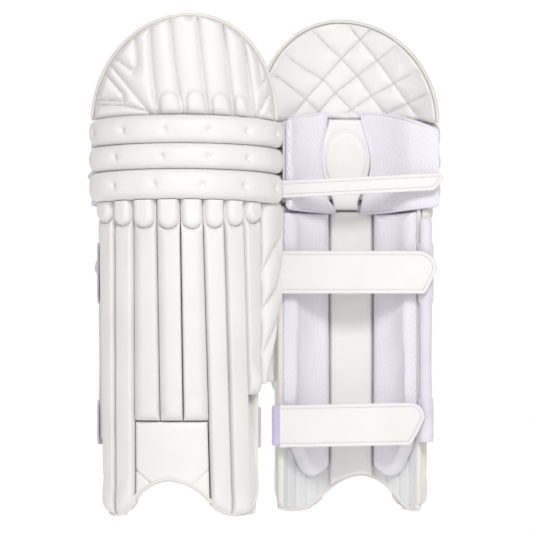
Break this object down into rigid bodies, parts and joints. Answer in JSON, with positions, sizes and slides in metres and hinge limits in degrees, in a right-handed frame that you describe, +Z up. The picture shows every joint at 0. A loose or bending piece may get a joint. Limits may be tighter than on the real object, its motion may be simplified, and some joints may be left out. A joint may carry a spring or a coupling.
{
  "type": "cricket batting pads",
  "caption": "Pair of white cricket leg guards: ribbed shins, stuffed knee rolls, domed tops, arched insteps and hook-and-loop straps behind the leg.",
  "frame": {"origin": "middle of the pair's bounding box at the floor that the pads stand on", "axes": "+Z up; -Y towards the viewer; +X towards the pad that shows its straps"},
  "size_m": [0.5472, 0.3544, 0.744],
  "materials": {
    "face": "white polyurethane synthetic leather with a fine grain, satin, over foam",
    "lining": "grey-white woven lining, quilted over foam",
    "mesh": "pale lavender spacer mesh over foam",
    "smooth": "smooth white polyurethane, satin, over foam",
    "strap": "white polyurethane strap with bound edges and a stitch line, satin",
    "elastic": "lavender ribbed elastic webbing",
    "cane": "split cane on cotton cloth"
  },
  "bodies": {
    "left_shin": {"left_shin_lining": "lining", "left_cane_rack": "cane", "left_rib_1": "face", "left_rib_2": "face", "left_rib_3": "face", "left_rib_4": "face", "left_rib_5": "face", "left_rib_6": "face", "left_rib_7": "face", "left_rib_8": "face", "left_instep_panel": "face", "left_spine": "smooth", "left_inner_bolster": "mesh", "left_outer_bolster": "mesh", "left_side_roll": "mesh", "left_ankle_tab": "elastic"},
    "left_wing": {"left_wing": "face", "left_calf_tab": "elastic"},
    "left_knee": {"left_knee_roll_1": "face", "left_knee_roll_2": "face", "left_knee_roll_3": "face", "left_knee_backing": "lining", "left_inner_knee_flap": "mesh", "left_outer_knee_flap": "mesh", "left_knee_cup": "smooth"},
    "left_top": {"left_top_hat": "face", "left_top_lining": "lining"},
    "left_knee_strap": {"left_knee_strap": "strap"},
    "left_calf_strap": {"left_calf_strap": "strap"},
    "left_ankle_strap": {"left_ankle_strap": "strap"},
    "right_shin": {"right_shin_lining": "lining", "right_cane_rack": "cane", "right_rib_1": "face", "right_rib_2": "face", "right_rib_3": "face", "right_rib_4": "face", "right_rib_5": "face", "right_rib_6": "face", "right_rib_7": "face", "right_rib_8": "face", "right_instep_panel": "face", "right_spine": "smooth", "right_inner_bolster": "mesh", "right_outer_bolster": "mesh", "right_side_roll": "mesh", "right_ankle_tab": "elastic"},
    "right_wing": {"right_wing": "face", "right_calf_tab": "elastic"},
    "right_knee": {"right_knee_roll_1": "face", "right_knee_roll_2": "face", "right_knee_roll_3": "face", "right_knee_backing": "lining", "right_inner_knee_flap": "mesh", "right_outer_knee_flap": "mesh", "right_knee_cup": "smooth"},
    "right_top": {"right_top_hat": "face", "right_top_lining": "lining"},
    "right_knee_strap": {"right_knee_strap": "strap"},
    "right_calf_strap": {"right_calf_strap": "strap"},
    "right_ankle_strap": {"right_ankle_strap": "strap"}
  },
  "joints": [
    {"name": "pair_spacing", "type": "slide", "parent": "left_shin", "child": "right_shin", "axis": [1, 0, 0], "range_m": [0, 0.3]},
    {"name": "left_knee_flex", "type": "hinge", "parent": "left_shin", "child": "left_knee", "pos_m": [-0.1286, -0.062, 0.4665], "axis": [-1, 0, 0], "range_deg": [0, 12]},
    {"name": "left_top_flex", "type": "hinge", "parent": "left_knee", "child": "left_top", "pos_m": [-0.1286, -0.066, 0.599], "axis": [-1, 0, 0], "range_deg": [0, 12]},
    {"name": "left_wing_flex", "type": "hinge", "parent": "left_shin", "child": "left_wing", "pos_m": [-0.0056, -0.085, 0.33], "axis": [0, 0, -1], "range_deg": [0, 12]},
    {"name": "left_knee_strap_open", "type": "hinge", "parent": "left_knee", "child": "left_knee_strap", "pos_m": [-0.0336, -0.045, 0.4935], "axis": [0, 0, -1], "range_deg": [0, 90]},
    {"name": "left_calf_strap_open", "type": "hinge", "parent": "left_wing", "child": "left_calf_strap", "pos_m": [-0.0316, -0.045, 0.3625], "axis": [0, 0, -1], "range_deg": [0, 90]},
    {"name": "left_ankle_strap_open", "type": "hinge", "parent": "left_shin", "child": "left_ankle_strap", "pos_m": [-0.0246, -0.045, 0.132], "axis": [0, 0, -1], "range_deg": [0, 90]},
    {"name": "right_knee_flex", "type": "hinge", "parent": "right_shin", "child": "right_knee", "pos_m": [0.1286, 0.062, 0.4665], "axis": [1, 0, 0], "range_deg": [0, 12]},
    {"name": "right_top_flex", "type": "hinge", "parent": "right_knee", "child": "right_top", "pos_m": [0.1286, 0.066, 0.599], "axis": [1, 0, 0], "range_deg": [0, 12]},
    {"name": "right_wing_flex", "type": "hinge", "parent": "right_shin", "child": "right_wing", "pos_m": [0.0056, 0.085, 0.33], "axis": [0, 0, -1], "range_deg": [0, 12]},
    {"name": "right_knee_strap_open", "type": "hinge", "parent": "right_knee", "child": "right_knee_strap", "pos_m": [0.0336, 0.045, 0.4935], "axis": [0, 0, -1], "range_deg": [0, 90]},
    {"name": "right_calf_strap_open", "type": "hinge", "parent": "right_wing", "child": "right_calf_strap", "pos_m": [0.0316, 0.045, 0.3625], "axis": [0, 0, -1], "range_deg": [0, 90]},
    {"name": "right_ankle_strap_open", "type": "hinge", "parent": "right_shin", "child": "right_ankle_strap", "pos_m": [0.0246, 0.045, 0.132], "axis": [0, 0, -1], "range_deg": [0, 90]}
  ]
}
